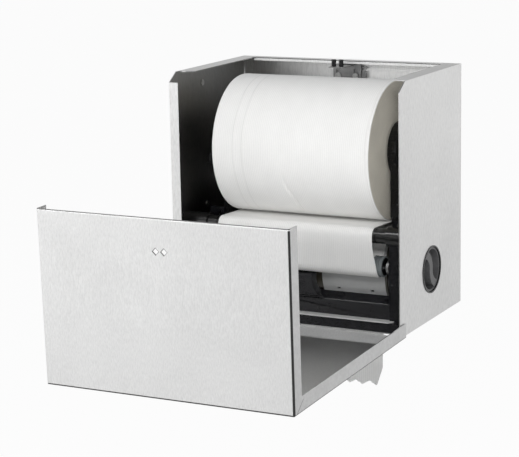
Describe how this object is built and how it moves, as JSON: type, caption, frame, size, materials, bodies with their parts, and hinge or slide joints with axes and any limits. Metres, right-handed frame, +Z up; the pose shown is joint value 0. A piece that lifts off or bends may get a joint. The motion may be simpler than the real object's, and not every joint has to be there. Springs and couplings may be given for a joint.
{
  "type": "autocut towel dispenser",
  "caption": "Wall-mounted steel roll towel dispenser with its hinged cover swung open, showing the paper roll, pinch roller, cutting drum and side feed knob.",
  "frame": {"origin": "centre of the wall screw pattern, on the cabinet's back face", "axes": "+X to the right seen from the front, +Y into the wall, +Z up"},
  "size_m": [0.3036, 0.4903, 0.3798],
  "materials": {
    "cabinet_steel": "vertical brushing, satin",
    "cover_steel": "vertical brushing, satin",
    "fastener_steel": "bright plated",
    "bracket_steel": "plain sheet",
    "shaft_steel": "ground",
    "blade_steel": "ground edge",
    "spring_steel": "drawn wire",
    "chassis_black": "moulded, satin",
    "guide_black": "smooth",
    "trim_black": "satin",
    "knob_dark": "fine grain",
    "hub_dark": "moulded",
    "drum_white": "smooth, pale",
    "ring_rubber": "grooved, matt",
    "towel_paper": "creped, matt",
    "core_board": "wound board"
  },
  "bodies": {
    "cabinet": {"back_panel": "cabinet_steel", "left_side_panel": "cabinet_steel", "right_side_panel": "cabinet_steel", "bottom_pan": "cabinet_steel", "panel_rivets": "fastener_steel", "front_rail": "cabinet_steel", "rail_base": "chassis_black", "lock_bracket": "bracket_steel", "latch_rivets": "fastener_steel", "latch_spring": "spring_steel", "left_cheek": "chassis_black", "right_cheek": "chassis_black", "chute_frame": "chassis_black", "rear_plate": "chassis_black", "outlet_collar": "chassis_black", "chassis_screws": "fastener_steel", "guide_bar": "guide_black", "knob_bezel": "trim_black", "drum_bushes": "drum_white", "knife_cam": "hub_dark", "return_spring": "spring_steel", "pinch_springs": "spring_steel", "paper_web": "towel_paper", "paper_wrap": "towel_paper", "paper_tail": "towel_paper", "arm_pivot_pins": "fastener_steel", "left_arm_spring": "spring_steel", "right_arm_spring": "spring_steel"},
    "cover": {"front_cover": "cover_steel", "hinge_pins": "fastener_steel", "hinge_washers": "fastener_steel"},
    "latch": {"latch_slider": "bracket_steel", "latch_noses": "trim_black"},
    "drum": {"drum_shell_left": "drum_white", "drum_shell_right": "drum_white", "drum_waist": "hub_dark", "drum_cap_left": "drum_white", "drum_cap_right": "drum_white", "drum_shaft": "shaft_steel", "feed_knob": "knob_dark", "crank_disc": "drum_white", "crank_pin": "shaft_steel"},
    "knife": {"knife_blade": "blade_steel", "knife_carrier": "hub_dark", "knife_shaft": "shaft_steel", "cam_follower": "drum_white"},
    "pinch_carriage": {"pinch_bearings": "drum_white"},
    "pinch_roller": {"pinch_shaft": "shaft_steel", "pinch_core": "trim_black", "pinch_rings": "ring_rubber", "pinch_clips": "fastener_steel"},
    "roll": {"paper_roll": "towel_paper", "roll_core": "core_board"},
    "left_arm": {"left_roll_arm": "chassis_black"},
    "right_arm": {"right_roll_arm": "chassis_black"},
    "left_hub": {"left_hub": "hub_dark", "left_hub_clip": "fastener_steel"},
    "right_hub": {"right_hub": "hub_dark", "right_hub_clip": "fastener_steel"}
  },
  "joints": [
    {"name": "cover_hinge", "type": "hinge", "parent": "cabinet", "child": "cover", "pos_m": [0, -0.19, -0.193], "axis": [1, 0, 0], "range_deg": [-91.7, 0]},
    {"name": "latch_press", "type": "slide", "parent": "cabinet", "child": "latch", "axis": [0, 0, -1], "range_m": [0, 0.007], "stiffness_N_per_m": 150, "springref_m": -0.01, "deforming": ["latch_spring"]},
    {"name": "drum_spin", "type": "hinge", "parent": "cabinet", "child": "drum", "pos_m": [0, -0.098, -0.138], "axis": [1, 0, 0], "continuous": true, "deforming": ["return_spring"]},
    {"name": "knife_swing", "type": "hinge", "parent": "drum", "child": "knife", "pos_m": [0, -0.13625, -0.13091], "axis": [-1, 0, 0], "range_deg": [0, 18], "stiffness_Nm_per_rad": 0.15, "springref_deg": -28.65, "deforming": ["paper_wrap"]},
    {"name": "pinch_lift", "type": "slide", "parent": "cabinet", "child": "pinch_carriage", "axis": [0, -0.9774, 0.2113], "range_m": [0, 0.0008], "stiffness_N_per_m": 2000, "springref_m": -0.003, "deforming": ["pinch_springs"]},
    {"name": "pinch_spin", "type": "hinge", "parent": "pinch_carriage", "child": "pinch_roller", "pos_m": [0, -0.16192, -0.12418], "axis": [1, 0, 0], "continuous": true},
    {"name": "roll_spin", "type": "hinge", "parent": "cabinet", "child": "roll", "pos_m": [0, -0.105, 0.006], "axis": [1, 0, 0], "continuous": true},
    {"name": "right_arm_swing", "type": "hinge", "parent": "cabinet", "child": "right_arm", "pos_m": [0.1246, -0.105, -0.079], "axis": [0, 1, 0], "range_deg": [0, 9], "stiffness_Nm_per_rad": 0.5, "springref_deg": -22.92, "deforming": ["right_arm_spring"]},
    {"name": "left_arm_swing", "type": "hinge", "parent": "cabinet", "child": "left_arm", "pos_m": [-0.1156, -0.105, -0.079], "axis": [0, -1, 0], "range_deg": [0, 9], "stiffness_Nm_per_rad": 0.5, "springref_deg": -22.92, "deforming": ["left_arm_spring"]},
    {"name": "right_hub_spin", "type": "hinge", "parent": "right_arm", "child": "right_hub", "pos_m": [0.115, -0.105, 0.0077], "axis": [1, 0, 0], "continuous": true},
    {"name": "left_hub_spin", "type": "hinge", "parent": "left_arm", "child": "left_hub", "pos_m": [-0.106, -0.105, 0.0077], "axis": [1, 0, 0], "continuous": true}
  ],
  "couplings": [
    {"joint": "pinch_spin", "follows": "drum_spin", "ratio": -4.16},
    {"joint": "roll_spin", "follows": "drum_spin", "ratio": 0.61538},
    {"joint": "right_hub_spin", "follows": "drum_spin", "ratio": 0.68376},
    {"joint": "left_hub_spin", "follows": "drum_spin", "ratio": 0.68376}
  ]
}
